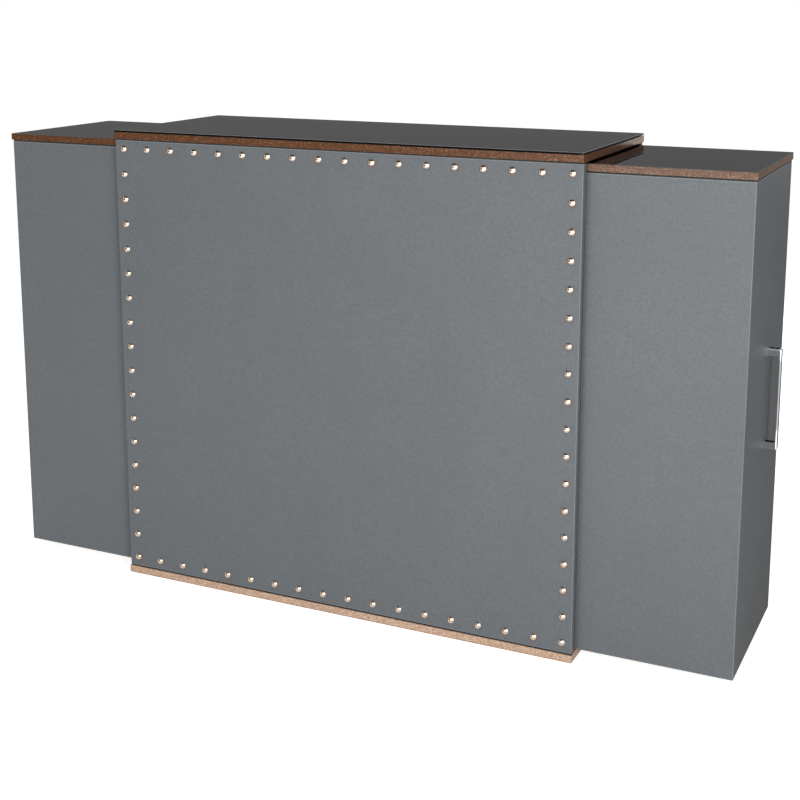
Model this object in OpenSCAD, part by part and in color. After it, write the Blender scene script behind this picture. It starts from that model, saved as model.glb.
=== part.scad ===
// Extending bar cabinet: a centre section with a glass top, and two wings that slide out
// from behind its front panel. The origin is the middle of the base board's underside.
// The front faces -Y, and the wings slide along X.

/* [Centre section] */
// Width of the top and base boards
centre_w = 1112; // [1000:1:1300]
// Depth of the top and base boards, front to back
centre_d = 438; // [400:1:520]
// Height from the floor to the top of the glass
centre_h = 1067; // [950:1:1150]
// Thickness of the glass top
glass_t = 5; // [4:0.5:10]
// Thickness of the board under the glass
top_board_t = 15; // [12:0.5:22]
// Thickness of the base board
base_board_t = 16.5; // [12:0.5:22]
// Thickness of the upright partition in the middle
partition_t = 18; // [14:1:24]
// Thickness of the rear rails
rail_t = 25; // [12:1:30]
// Height of the rear rails
rail_h = 40; // [30:1:70]
// Distance from the boards' rear edge to the rear rails
rail_inset = 3; // [2:1:20]
// Distance from the boards' ends to the ends of the rear rails
rail_end_inset = 3; // [2:1:40]

/* [Front panel] */
// Thickness of the front panel's core board
panel_core_t = 16; // [12:1:22]
// Distance from the boards' ends to the side of the covered panel
panel_side_inset = 1; // [0.5:0.5:5]
// Distance from the boards' front edge to the face of the covered panel
panel_front_inset = 2.5; // [1:0.5:8]
// Thickness of the grey cover on the front panel and the wings
cover_t = 1; // [0.6:0.1:2]
// Width of the cover's hem on the back of the front panel
cover_hem_w = 25; // [15:1:40]
// Seam between the cover and the board above it
upper_seam = 1; // [0.5:0.5:4]
// Seam between the cover and the base board
lower_seam = 2; // [0.5:0.5:4]

/* [Nail heads] */
// Number of nails along each side of the front panel
nails_per_side = 18; // [10:1:24]
// Diameter of a nail's domed head
nail_head_d = 16; // [10:1:20]
// Height of the dome above the cover
nail_head_h = 5; // [3:0.5:6]
// Diameter of a nail's shank
nail_shank_d = 2; // [1.5:0.1:3]
// Length of a nail's shank
nail_shank_len = 10; // [6:1:12]
// Distance from the edges of the cover to the nail centres
nail_inset = 22; // [15:1:40]

/* [Wings] */
// How far a wing slides out from its closed place to its stop
pull_max = 330; // [250:5:360]
// How far the right wing stands short of its stop
right_short = 0; // [0:0.5:100]
// How far the left wing stands short of its stop
left_short = 12.5; // [0:0.5:100]
// Gap between the back of the front panel and the front edge of a wing's top
wing_front_gap = 4.5; // [2:0.5:10]
// Gap between the rear edge of a wing's top and the rear rails
wing_rear_gap = 3; // [1:0.5:10]
// Thickness of the board in a wing's top
wing_top_t = 14; // [12:1:20]
// Thickness of the glossy laminate on a wing's top
laminate_t = 1; // [0.6:0.1:2]
// How far a wing's top overhangs its front, end and rear faces
wing_overhang = 2; // [1:0.5:6]
// Seam between a wing's cover and its top
wing_seam = 1.5; // [0.5:0.5:4]
// Thickness of a wing's front core
wing_front_t = 16; // [12:1:20]
// Thickness of a wing's end core
wing_end_t = 16; // [14:1:20]
// Thickness of a wing's inner end panel
wing_inner_t = 16; // [14:1:20]
// Thickness of a wing's bottom panel
wing_bottom_t = 16; // [12:1:20]
// Thickness of the shelves
shelf_t = 16; // [12:1:22]
// Height of the lower shelf's top face above the floor
lower_shelf_z = 345; // [250:5:420]
// Height of the upper shelf's top face above the floor
upper_shelf_z = 690; // [675:5:760]
// Gap between a shelf and the panels round it
shelf_gap = 1; // [0.5:0.5:3]
// Distance from a wing's rear face to the rear edge of its shelves
shelf_setback = 20; // [5:1:60]

/* [Handles] */
// Overall length of a handle
handle_len = 215; // [150:1:250]
// How far a handle stands off the end face
handle_reach = 27.5; // [24:0.5:50]
// Thickness of a handle's grip bar
handle_bar_t = 4; // [3:0.5:12]
// Height of each arm of a handle
handle_arm_h = 16; // [12:0.5:20]
// Depth of a handle's section
handle_depth = 14.5; // [10:0.5:20]
// Radius of a handle's outer corners
handle_outer_r = 4; // [2:0.5:7]
// Radius of a handle's inner corners
handle_inner_r = 5; // [2:0.5:8]
// Height of a handle's middle above the floor
handle_z = 550.5; // [530:0.5:570]
// How far a handle stands behind the middle of its wing's depth
handle_rear_shift = 26; // [-60:1:60]

/* [Slides and stops] */
// Thickness of the runners on the base board
runner_t = 4.2; // [3:0.1:8]
// Width of a runner
runner_w = 20; // [12:1:40]
// Distance from a wing's front and rear faces to the runners
runner_inset = 38; // [20:1:70]
// Distance from the ends of the base board to the runners
runner_end_inset = 8; // [4:1:40]
// Thickness of the glides on a wing's top
glide_t = 3.2; // [2:0.1:6]
// Width of a glide along the slide
glide_w = 20; // [12:1:40]
// Length of a glide, front to back
glide_len = 50; // [30:1:90]
// Distance from a wing's inner end to its glides
glide_inset = 6; // [2:1:20]
// Thickness of the stop strips
stop_t = 3.4; // [2.4:0.1:3.8]
// Width of a stop strip along the slide
stop_w = 20; // [12:1:30]
// Length of a stop strip, front to back
stop_len = 160; // [80:5:220]
// Thickness of the bumpers on the partition
bumper_t = 5.7; // [3:0.1:10]
// Diameter of a bumper
bumper_d = 16; // [10:1:24]
// Height of the lower bumpers above the floor
lower_bumper_z = 150; // [100:5:300]
// Height of the upper bumpers above the floor
upper_bumper_z = 920; // [700:5:940]
// Distance of the bumpers from the middle of the partition, front and rear
bumper_y = 130; // [60:5:150]

/* [Fasteners] */
// Diameter of a wood screw
screw_d = 4; // [3:0.5:5]
// Diameter of a wood screw's countersunk head
screw_head_d = 8; // [6:0.5:9]
// Length of the screws in the top and base boards
board_screw_len = 40; // [30:1:50]
// Length of the screws in the partition and the wings' fronts
panel_screw_len = 45; // [30:1:55]
// Length of a screw's point
screw_tip_len = 4; // [2:0.5:6]
// Diameter of a dowel
dowel_d = 8; // [6:1:8]
// Depth of a dowel in a wing's top
dowel_up = 9; // [6:1:10]
// Depth of a dowel in the panel under it
dowel_down = 18; // [12:1:25]
// Diameter of a shelf pin
pin_d = 5; // [4:0.5:6]
// Depth of a shelf pin in its panel
pin_depth = 9; // [6:0.5:11]
// How far a shelf pin reaches under the shelf
pin_reach = 9; // [6:0.5:14]
// Width of a shelf pin's seat
pin_seat_w = 10; // [6:0.5:14]
// Diameter of a handle screw
bolt_d = 4; // [3:0.5:5]
// Diameter of a handle screw's head
bolt_head_d = 8; // [6:0.5:10]
// Height of a handle screw's head
bolt_head_h = 3; // [2:0.5:4]
// How far a handle screw reaches into the handle
bolt_reach = 11; // [6:0.5:14]

/* [Clearances] */
// Running clearance between a sliding piece and its seat
running_gap = 0.3; // [0.2:0.05:0.6]
// Clearance round a fastener in its hole
hole_play = 0.05; // [0.03:0.01:0.15]
// Clearance at the bottom of a blind hole
hole_end_play = 0.5; // [0.2:0.1:1]

/* [Hidden] */

// Fineness of round pieces
round_fn = 32;
// Overlap that lets a cut pass right through a face
cut = 1;

// Colours
grey = [0.40, 0.42, 0.44];
board_brown = [0.36, 0.25, 0.18];
base_tan = [0.72, 0.60, 0.50];
raw_board = [0.62, 0.50, 0.38];
black = [0.08, 0.08, 0.09];
copper = [0.85, 0.62, 0.50];
chrome = [0.80, 0.81, 0.83];
steel = [0.60, 0.61, 0.63];
nylon = [0.86, 0.85, 0.80];
rubber = [0.15, 0.15, 0.15];
beech = [0.80, 0.66, 0.46];

// Centre section
half_w = centre_w / 2;
front_y = -centre_d / 2;
rear_y = centre_d / 2;
board_top_z = centre_h - glass_t;
board_low_z = board_top_z - top_board_t;
base_top_z = base_board_t;
core_half_w = half_w - panel_side_inset - cover_t;
core_front_y = front_y + panel_front_inset + cover_t;
core_back_y = core_front_y + panel_core_t;
panel_back_y = core_back_y + cover_t;
cover_low_z = base_top_z + lower_seam;
cover_top_z = board_low_z - upper_seam;
rail_front_y = rear_y - rail_inset - rail_t;
rail_half_w = half_w - rail_end_inset;

// Nails, as centre places along X and along Z
nail_half_w = core_half_w + cover_t - nail_inset;
nail_low_z = cover_low_z + nail_inset;
nail_top_z = cover_top_z - nail_inset;
nail_last = nails_per_side - 1;
nail_pitch_x = 2 * nail_half_w / nail_last;
nail_pitch_z = (nail_top_z - nail_low_z) / nail_last;
function nail_x(i) = -nail_half_w + i * nail_pitch_x;
function nail_z(i) = nail_low_z + i * nail_pitch_z;
nail_ball_r = (nail_head_d * nail_head_d / 4 + nail_head_h * nail_head_h) / (2 * nail_head_h);

// Wings: X is measured from the inner end of a wing, Y and Z as in the whole cabinet
wing_len = half_w - partition_t / 2 - bumper_t - running_gap;
wing_top_front_y = panel_back_y + wing_front_gap;
wing_top_rear_y = rail_front_y - wing_rear_gap;
wing_mid_y = (wing_top_front_y + wing_top_rear_y) / 2;
wing_top_z = board_low_z - glide_t - running_gap;
wing_low_z = base_top_z + runner_t + running_gap;
wing_board_z = wing_top_z - laminate_t - wing_top_t;
wing_core_x = wing_len - wing_overhang - cover_t;
wing_core_front_y = wing_top_front_y + wing_overhang + cover_t;
wing_core_rear_y = wing_top_rear_y - wing_overhang - cover_t;
wing_box_front_y = wing_core_front_y + wing_front_t;
wing_box_end_x = wing_core_x - wing_end_t;
wing_floor_z = wing_low_z + wing_bottom_t;
wing_face_x = wing_core_x + cover_t;
wing_cover_top_z = wing_board_z - wing_seam;
wing_out_x = half_w + pull_max - wing_len;
right_x = wing_out_x - right_short;
left_x = wing_out_x - left_short;
shelf_front_y = wing_box_front_y + shelf_gap;
shelf_rear_y = wing_core_rear_y - shelf_setback;
shelf_low_x = wing_inner_t + shelf_gap;
shelf_high_x = wing_box_end_x - shelf_gap;
front_runner_y = wing_core_front_y + runner_inset;
rear_runner_y = wing_core_rear_y - runner_inset - runner_w;
fixed_stop_x = wing_out_x + stop_w + running_gap;

// Fasteners
screw_head_h = (screw_head_d - screw_d) / 2;
// Screws into the front panel stand midway between two nails
panel_screw_gaps = [1, 6, nails_per_side - 8, nails_per_side - 3];
panel_screw_y = (core_front_y + core_back_y) / 2;
// Screws into the rails, as shares of their length
rail_screw_shares = [-0.9, -0.45, 0.45, 0.9];
rail_mid_y = rail_front_y + rail_t / 2;
// Distance of the screws in the partition from its middle
partition_screw_y = 110;
// Heights of the screws through the front panel into the partition
partition_screw_zs = [200, 530, 860];
// Distance from a wing's floor and top to its outermost screws
wing_screw_inset = 120;
wing_screw_zs = [
  wing_floor_z + wing_screw_inset,
  (wing_floor_z + wing_board_z) / 2,
  wing_board_z - wing_screw_inset
];
// Distance from the ends and edges of a wing's panels to their dowels and shelf pins
dowel_inset = 60;
pin_inset = 50;
front_dowel_xs = [dowel_inset, wing_core_x / 2, wing_box_end_x - dowel_inset];
side_dowel_ys = [wing_box_front_y + dowel_inset, wing_core_rear_y - dowel_inset];
shelf_pin_ys = [shelf_front_y + pin_inset, shelf_rear_y - pin_inset];
handle_y = wing_mid_y + handle_rear_shift;
handle_arm_zs = [
  handle_z - handle_len / 2 + handle_arm_h / 2,
  handle_z + handle_len / 2 - handle_arm_h / 2
];

// Shared shapes

module slab(low, high) {
  translate(low) cube(high - low);
}

// Flat outline of a rectangle wrapped in a layer, with rounded corners
module wrapped_outline(low, high, layer) {
  translate([low[0] - layer, low[1]]) square([high[0] - low[0] + 2 * layer, high[1] - low[1]]);
  translate([low[0], low[1] - layer]) square([high[0] - low[0], high[1] - low[1] + 2 * layer]);
  for (x = [low[0], high[0]])
    for (y = [low[1], high[1]])
      translate([x, y]) circle(r = layer, $fn = round_fn);
}

// Rectangle with rounded corners, centred
module rounded_outline(w, h, r) {
  square([w - 2 * r, h], center = true);
  square([w, h - 2 * r], center = true);
  for (x = [-1, 1])
    for (y = [-1, 1])
      translate([x * (w / 2 - r), y * (h / 2 - r)]) circle(r = r, $fn = round_fn);
}

// Countersunk screw that points down, with the flat of its head at the origin
module wood_screw(length) {
  translate([0, 0, -screw_head_h])
    cylinder(d1 = screw_d, d2 = screw_head_d, h = screw_head_h, $fn = round_fn);
  translate([0, 0, screw_tip_len - length])
    cylinder(d = screw_d, h = length - screw_head_h - screw_tip_len, $fn = round_fn);
  translate([0, 0, -length]) cylinder(d1 = screw_d / 4, d2 = screw_d, h = screw_tip_len, $fn = round_fn);
}

// Hole for that screw, with its countersink
module screw_hole(length) {
  hole_d = screw_d + 2 * hole_play;
  translate([0, 0, -screw_head_h])
    cylinder(d1 = hole_d, d2 = screw_head_d + 2 * hole_play, h = screw_head_h, $fn = round_fn);
  translate([0, 0, -length - hole_end_play])
    cylinder(d = hole_d, h = length + hole_end_play - screw_head_h, $fn = round_fn);
}

// Places for the screws that go down through the top board
module at_top_screws() {
  for (i = panel_screw_gaps)
    translate([nail_x(i) + nail_pitch_x / 2, panel_screw_y, board_top_z]) children();
  for (y = [-partition_screw_y, partition_screw_y])
    translate([0, y, board_top_z]) children();
  for (s = rail_screw_shares)
    translate([s * rail_half_w, rail_mid_y, board_top_z]) children();
}

// Places for the screws that go up through the base board
module at_base_screws() {
  for (i = panel_screw_gaps)
    translate([nail_x(i) + nail_pitch_x / 2, panel_screw_y, 0]) mirror([0, 0, 1]) children();
  for (y = [-partition_screw_y, partition_screw_y])
    translate([0, y, 0]) mirror([0, 0, 1]) children();
  for (s = rail_screw_shares)
    translate([s * rail_half_w, rail_mid_y, 0]) mirror([0, 0, 1]) children();
}

// Places for the screws through the front core and the rails into the partition
module at_partition_screws() {
  for (z = partition_screw_zs)
    translate([0, core_front_y, z]) rotate([90, 0, 0]) children();
  for (z = [base_top_z + rail_h / 2, board_low_z - rail_h / 2])
    translate([0, rail_front_y + rail_t, z]) rotate([-90, 0, 0]) children();
}

// Places of the nails on the face of the cover
module at_nails() {
  cover_face_y = core_front_y - cover_t;
  for (i = [0 : nail_last])
    for (z = [nail_low_z, nail_top_z])
      translate([nail_x(i), cover_face_y, z]) rotate([90, 0, 0]) children();
  for (i = [1 : nail_last - 1])
    for (x = [-nail_half_w, nail_half_w])
      translate([x, cover_face_y, nail_z(i)]) rotate([90, 0, 0]) children();
}

module nail_holes() {
  at_nails() translate([0, 0, -nail_shank_len - hole_end_play])
    cylinder(d = nail_shank_d + 2 * hole_play, h = nail_shank_len + hole_end_play + cut, $fn = round_fn);
}

// Centre section

module base_board() {
  color(base_tan) difference() {
    slab([-half_w, front_y, 0], [half_w, rear_y, base_top_z]);
    at_base_screws() screw_hole(board_screw_len);
  }
}

module front_panel_core() {
  color(raw_board) difference() {
    slab([-core_half_w, core_front_y, base_top_z], [core_half_w, core_back_y, board_low_z]);
    nail_holes();
    at_top_screws() screw_hole(board_screw_len);
    at_base_screws() screw_hole(board_screw_len);
    at_partition_screws() screw_hole(panel_screw_len);
  }
}

module front_panel_cover() {
  low = [-core_half_w, core_front_y];
  high = [core_half_w, core_back_y];
  color(grey) difference() {
    translate([0, 0, cover_low_z]) linear_extrude(cover_top_z - cover_low_z) difference() {
      wrapped_outline(low, high, cover_t);
      translate(low) square(high - low);
      translate([cover_hem_w - core_half_w, core_back_y - cut])
        square([2 * (core_half_w - cover_hem_w), cover_t + 2 * cut]);
    }
    nail_holes();
  }
}

module nail_heads() {
  color(copper) at_nails() {
    intersection() {
      translate([0, 0, nail_head_h - nail_ball_r]) sphere(r = nail_ball_r, $fn = round_fn);
      cylinder(d = nail_head_d + 2 * cut, h = nail_head_h + cut, $fn = round_fn);
    }
    translate([0, 0, -nail_shank_len]) cylinder(d = nail_shank_d, h = nail_shank_len, $fn = round_fn);
  }
}

module centre_partition() {
  color(raw_board) difference() {
    slab([-partition_t / 2, core_back_y, base_top_z], [partition_t / 2, rail_front_y, board_low_z]);
    at_top_screws() screw_hole(board_screw_len);
    at_base_screws() screw_hole(board_screw_len);
    at_partition_screws() screw_hole(panel_screw_len);
  }
}

module rear_rail(low_z) {
  color(black) difference() {
    slab([-rail_half_w, rail_front_y, low_z], [rail_half_w, rail_front_y + rail_t, low_z + rail_h]);
    at_top_screws() screw_hole(board_screw_len);
    at_base_screws() screw_hole(board_screw_len);
    at_partition_screws() screw_hole(panel_screw_len);
  }
}

module lower_rear_rail() {
  rear_rail(base_top_z);
}

module upper_rear_rail() {
  rear_rail(board_low_z - rail_h);
}

module top_board() {
  color(board_brown) difference() {
    slab([-half_w, front_y, board_low_z], [half_w, rear_y, board_top_z]);
    at_top_screws() screw_hole(board_screw_len);
  }
}

module top_glass() {
  color(black) slab([-half_w, front_y, board_top_z], [half_w, rear_y, centre_h]);
}

module base_runners() {
  color(nylon)
    for (side = [0, 1])
      for (y = [front_runner_y, rear_runner_y])
        mirror([side, 0, 0])
          slab([partition_t / 2 + bumper_t, y, base_top_z],
            [half_w - runner_end_inset, y + runner_w, base_top_z + runner_t]);
}

module outer_stops() {
  color(nylon)
    for (side = [0, 1])
      mirror([side, 0, 0])
        slab([fixed_stop_x, wing_mid_y - stop_len / 2, base_top_z],
          [fixed_stop_x + stop_w, wing_mid_y + stop_len / 2, base_top_z + stop_t]);
}

module partition_bumpers() {
  color(rubber)
    for (side = [0, 1])
      for (y = [-bumper_y, bumper_y])
        for (z = [lower_bumper_z, upper_bumper_z])
          mirror([side, 0, 0]) translate([partition_t / 2, y, z]) rotate([0, 90, 0])
            cylinder(d = bumper_d, h = bumper_t, $fn = round_fn);
}

module top_screws() {
  color(steel) at_top_screws() wood_screw(board_screw_len);
}

module base_screws() {
  color(steel) at_base_screws() wood_screw(board_screw_len);
}

module partition_screws() {
  color(steel) at_partition_screws() wood_screw(panel_screw_len);
}

// Wings, drawn with their inner end at X = 0 and their outer end towards +X

// Puts a wing's piece in its place on the right or the left side
module on_side(side) {
  if (side == "right") translate([right_x, 0, 0]) children();
  if (side == "left") mirror([1, 0, 0]) translate([left_x, 0, 0]) children();
}

// Places for the screws that go back through a wing's front core
module at_wing_screws() {
  for (x = [wing_inner_t / 2, wing_core_x - wing_end_t / 2])
    for (z = wing_screw_zs)
      translate([x, wing_core_front_y, z]) rotate([90, 0, 0]) children();
  for (x = [wing_core_x / 3, wing_core_x * 2 / 3])
    translate([x, wing_core_front_y, wing_low_z + wing_bottom_t / 2]) rotate([90, 0, 0]) children();
}

// Places of the dowels, at the underside of a wing's top
module at_dowels() {
  for (x = front_dowel_xs)
    translate([x, wing_core_front_y + wing_front_t / 2, wing_board_z]) children();
  for (x = [wing_inner_t / 2, wing_core_x - wing_end_t / 2])
    for (y = side_dowel_ys)
      translate([x, y, wing_board_z]) children();
}

module dowel(play, end_play) {
  translate([0, 0, -dowel_down - end_play])
    cylinder(d = dowel_d + 2 * play, h = dowel_up + dowel_down + 2 * end_play, $fn = round_fn);
}

module dowel_holes() {
  at_dowels() dowel(hole_play, hole_end_play);
}

// Places of the shelf pins on the two panels, each pointing into the box, at the underside of a shelf
module at_shelf_pins() {
  for (shelf_z = [lower_shelf_z, upper_shelf_z])
    for (y = shelf_pin_ys) {
      translate([wing_inner_t, y, shelf_z - shelf_t]) children();
      translate([wing_box_end_x, y, shelf_z - shelf_t]) mirror([1, 0, 0]) children();
    }
}

module pin_holes() {
  at_shelf_pins() translate([-pin_depth - hole_end_play, 0, -pin_d / 2]) rotate([0, 90, 0])
    cylinder(d = pin_d + 2 * hole_play, h = pin_depth + hole_end_play + cut, $fn = round_fn);
}

// Places of the handle screws, at the inner face of a wing's end core, each pointing outwards
module at_handle_screws() {
  for (z = handle_arm_zs)
    translate([wing_box_end_x, handle_y, z]) rotate([0, 90, 0]) children();
}

module handle_screw_holes() {
  depth = wing_end_t + cover_t + bolt_reach + hole_end_play;
  at_handle_screws() translate([0, 0, -cut])
    cylinder(d = bolt_d + 2 * hole_play, h = depth + cut, $fn = round_fn);
}

module wing_top() {
  color(board_brown) difference() {
    slab([0, wing_top_front_y, wing_board_z], [wing_len, wing_top_rear_y, wing_board_z + wing_top_t]);
    dowel_holes();
  }
}

module wing_laminate() {
  color(black)
    slab([0, wing_top_front_y, wing_board_z + wing_top_t], [wing_len, wing_top_rear_y, wing_top_z]);
}

module wing_front() {
  color(raw_board) difference() {
    slab([0, wing_core_front_y, wing_low_z], [wing_core_x, wing_box_front_y, wing_board_z]);
    at_wing_screws() screw_hole(panel_screw_len);
    dowel_holes();
  }
}

module wing_end() {
  color(raw_board) difference() {
    slab([wing_box_end_x, wing_box_front_y, wing_low_z], [wing_core_x, wing_core_rear_y, wing_board_z]);
    at_wing_screws() screw_hole(panel_screw_len);
    dowel_holes();
    pin_holes();
    handle_screw_holes();
  }
}

module wing_cover() {
  low = [0, wing_core_front_y];
  high = [wing_core_x, wing_core_rear_y];
  color(grey) difference() {
    translate([0, 0, wing_low_z]) linear_extrude(wing_cover_top_z - wing_low_z) difference() {
      wrapped_outline(low, high, cover_t);
      translate(low) square(high - low);
      translate([-cover_t - cut, wing_core_front_y - cover_t - cut])
        square([cover_t + cut, wing_core_rear_y - wing_core_front_y + 2 * (cover_t + cut)]);
      translate([-cut, wing_core_rear_y - cut]) square([wing_box_end_x + cut, cover_t + 2 * cut]);
    }
    handle_screw_holes();
  }
}

module wing_inner_panel() {
  color(raw_board) difference() {
    slab([0, wing_box_front_y, wing_floor_z], [wing_inner_t, wing_core_rear_y, wing_board_z]);
    at_wing_screws() screw_hole(panel_screw_len);
    dowel_holes();
    pin_holes();
  }
}

module wing_bottom() {
  color(raw_board) difference() {
    slab([0, wing_box_front_y, wing_low_z], [wing_box_end_x, wing_core_rear_y, wing_floor_z]);
    at_wing_screws() screw_hole(panel_screw_len);
  }
}

module shelf(top_z) {
  color(raw_board)
    slab([shelf_low_x, shelf_front_y, top_z - shelf_t], [shelf_high_x, shelf_rear_y, top_z]);
}

module wing_shelf_pins() {
  color(steel) at_shelf_pins() {
    translate([-pin_depth, 0, -pin_d / 2]) rotate([0, 90, 0])
      cylinder(d = pin_d, h = pin_depth + pin_reach, $fn = round_fn);
    slab([0, -pin_seat_w / 2, -pin_d / 2], [pin_reach, pin_seat_w / 2, 0]);
  }
}

module wing_dowels() {
  color(beech) at_dowels() dowel(0, 0);
}

module wing_screws() {
  color(steel) at_wing_screws() wood_screw(panel_screw_len);
}

module wing_glides() {
  color(nylon)
    for (y = [front_runner_y, rear_runner_y + runner_w - glide_len])
      slab([glide_inset, y, wing_top_z], [glide_inset + glide_w, y + glide_len, wing_top_z + glide_t]);
}

module wing_stop() {
  color(nylon)
    slab([0, wing_mid_y - stop_len / 2, wing_low_z - stop_t],
      [stop_w, wing_mid_y + stop_len / 2, wing_low_z]);
}

// Outline of a handle's loop in the plane of its grip bar and arms
module handle_outline() {
  gap_reach = handle_reach - handle_bar_t;
  gap_len = handle_len - 2 * handle_arm_h;
  difference() {
    rounded_outline(2 * handle_reach, handle_len, handle_outer_r);
    rounded_outline(2 * gap_reach, gap_len, handle_inner_r);
    translate([-handle_reach - cut, -handle_len / 2 - cut])
      square([handle_reach + cut, handle_len + 2 * cut]);
  }
}

module wing_handle() {
  color(chrome) difference() {
    translate([wing_face_x, handle_y + handle_depth / 2, handle_z]) rotate([90, 0, 0])
      linear_extrude(handle_depth) handle_outline();
    handle_screw_holes();
  }
}

module wing_handle_screws() {
  color(steel) at_handle_screws() {
    translate([0, 0, -bolt_head_h]) cylinder(d = bolt_head_d, h = bolt_head_h, $fn = round_fn);
    cylinder(d = bolt_d, h = wing_end_t + cover_t + bolt_reach, $fn = round_fn);
  }
}

base_board();
front_panel_core();
front_panel_cover();
nail_heads();
centre_partition();
lower_rear_rail();
upper_rear_rail();
top_board();
top_glass();
base_runners();
outer_stops();
partition_bumpers();
top_screws();
base_screws();
partition_screws();

on_side("right") wing_top();  // right_wing_top
on_side("right") wing_laminate();  // right_wing_laminate
on_side("right") wing_front();  // right_wing_front
on_side("right") wing_end();  // right_wing_end
on_side("right") wing_cover();  // right_wing_cover
on_side("right") wing_inner_panel();  // right_wing_inner_panel
on_side("right") wing_bottom();  // right_wing_bottom
on_side("right") shelf(lower_shelf_z);  // right_wing_lower_shelf
on_side("right") shelf(upper_shelf_z);  // right_wing_upper_shelf
on_side("right") wing_shelf_pins();  // right_wing_shelf_pins
on_side("right") wing_dowels();  // right_wing_dowels
on_side("right") wing_screws();  // right_wing_screws
on_side("right") wing_glides();  // right_wing_glides
on_side("right") wing_stop();  // right_wing_stop
on_side("right") wing_handle();  // right_wing_handle
on_side("right") wing_handle_screws();  // right_wing_handle_screws

on_side("left") wing_top();  // left_wing_top
on_side("left") wing_laminate();  // left_wing_laminate
on_side("left") wing_front();  // left_wing_front
on_side("left") wing_end();  // left_wing_end
on_side("left") wing_cover();  // left_wing_cover
on_side("left") wing_inner_panel();  // left_wing_inner_panel
on_side("left") wing_bottom();  // left_wing_bottom
on_side("left") shelf(lower_shelf_z);  // left_wing_lower_shelf
on_side("left") shelf(upper_shelf_z);  // left_wing_upper_shelf
on_side("left") wing_shelf_pins();  // left_wing_shelf_pins
on_side("left") wing_dowels();  // left_wing_dowels
on_side("left") wing_screws();  // left_wing_screws
on_side("left") wing_glides();  // left_wing_glides
on_side("left") wing_stop();  // left_wing_stop
on_side("left") wing_handle();  // left_wing_handle
on_side("left") wing_handle_screws();  // left_wing_handle_screws
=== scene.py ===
"""Bar cabinet that extends: a centre section with two wings that slide out from behind its front panel.
The scene is in metres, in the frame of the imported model: origin under the middle of the base board, front
at -Y. Points are worked out in millimetres, and add_mesh turns them into metres."""
import math
import random

import bmesh
import bpy
import numpy as np
from mathutils import Matrix, Vector


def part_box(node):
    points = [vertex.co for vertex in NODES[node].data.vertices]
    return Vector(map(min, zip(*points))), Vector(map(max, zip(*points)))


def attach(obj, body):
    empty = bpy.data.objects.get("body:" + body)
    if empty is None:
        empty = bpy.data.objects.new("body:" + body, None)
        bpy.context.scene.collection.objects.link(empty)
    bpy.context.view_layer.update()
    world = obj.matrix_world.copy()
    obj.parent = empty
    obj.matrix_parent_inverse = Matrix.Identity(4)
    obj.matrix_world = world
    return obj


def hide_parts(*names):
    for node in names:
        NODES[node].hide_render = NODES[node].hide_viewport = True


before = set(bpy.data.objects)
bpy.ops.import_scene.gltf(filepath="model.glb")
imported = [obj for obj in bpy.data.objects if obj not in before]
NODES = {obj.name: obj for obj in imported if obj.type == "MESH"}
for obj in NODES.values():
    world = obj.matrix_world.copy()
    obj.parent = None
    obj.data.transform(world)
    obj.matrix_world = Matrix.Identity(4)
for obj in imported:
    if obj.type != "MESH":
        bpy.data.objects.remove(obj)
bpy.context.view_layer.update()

MM = 0.001

# Sizes of the part that the pieces below repeat, in millimetres
COVER_T = 1.0
HEM_W = 25.0
NAIL_D = 16.0
NAIL_H = 5.0
NAIL_INSET = 22.0
NAILS_PER_SIDE = 18
HANDLE_BAR_T = 4.0
HANDLE_ARM_H = 16.0
HANDLE_OUTER_R = 4.0
HANDLE_INNER_R = 5.0

# Rounding of the wrapped covers: at their upright edges, at a wing's rear edge, and at both their ends
COVER_CORNER_R = 2.5
COVER_REAR_R = 1.6
COVER_EDGE_H = 2.6

# Mesh of the covers: lines at these distances from each nail's middle, and the least gaps between lines
NAIL_LINES = (0, 5, 8, 9.5, 11.5, 14, 18)
LINE_GAP = 1.4
CORNER_GAP = 0.5
EDGE_GAP = 2.0

# How deep a nail presses the cover in, how far round it, and how the heads sit in the cover
NAIL_PRESS = 0.45
NAIL_PRESS_REACH = 3.6
NAIL_SINK = 0.35
NAIL_OVERSIZE = 1.02
NAIL_LEAN_DEG = 1.6
NAIL_SHIFT = 0.4
NAIL_SHANK_R = 1.0
NAIL_SHANK_LEN = 8.0
NAIL_POINT_LEN = 10.0
NAIL_RINGS = 9
NAIL_SIDES = 28

# Black strips in the seams, painted shade there: what the covers leave open over and under them, how far back
# they lie and tuck in, and their gap to the boards
SEAM_SHOW = 1.7
SEAM_SHOW_LOW = 0.7
SHADE_STRIP_INSET = 0.47
SHADE_STRIP_TUCK = 2.2
SHADE_STRIP_GAP = 0.05
SHADE_STRIP_END_GAP = 3.0

# Rubber lips, whose black is painted shade in the gap beside the wings: their gap to the boards and the
# wings, how far they sink into the hem, and the foot on the hem
LIP_GAP = 0.5
LIP_SINK = 0.2
LIP_FOOT_W = 9.0
LIP_FOOT_T = 1.2

# A handle's long outer edges: how far they are drawn in at its side, how much less for each millimetre of
# depth, the depths on that slope, and then (depth, drawn in) where the slope turns over
HANDLE_SLOPE_IN = 3.05
HANDLE_SLOPE_RATE = 2.45
HANDLE_SLOPE_DEPTHS = (0.0, 0.03, 0.12, 0.35, 0.55, 0.8, 1.0)
HANDLE_TURN = [(1.145, 0.40), (1.324, 0.25), (1.55, 0.14), (2.21, 0.0)]
HANDLE_INNER_EDGE_R = 0.8


# Camera

PHOTO_PX = 800
FOCAL_PX = 1382.6
OPTICAL_ROW = 260
CAMERA_PLACE = (1.3639, -2.7897, 1.3624)
CAMERA_YAW = 25.053
CAMERA_PITCH = -10.751
CAMERA_ROLL = 0.034


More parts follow.
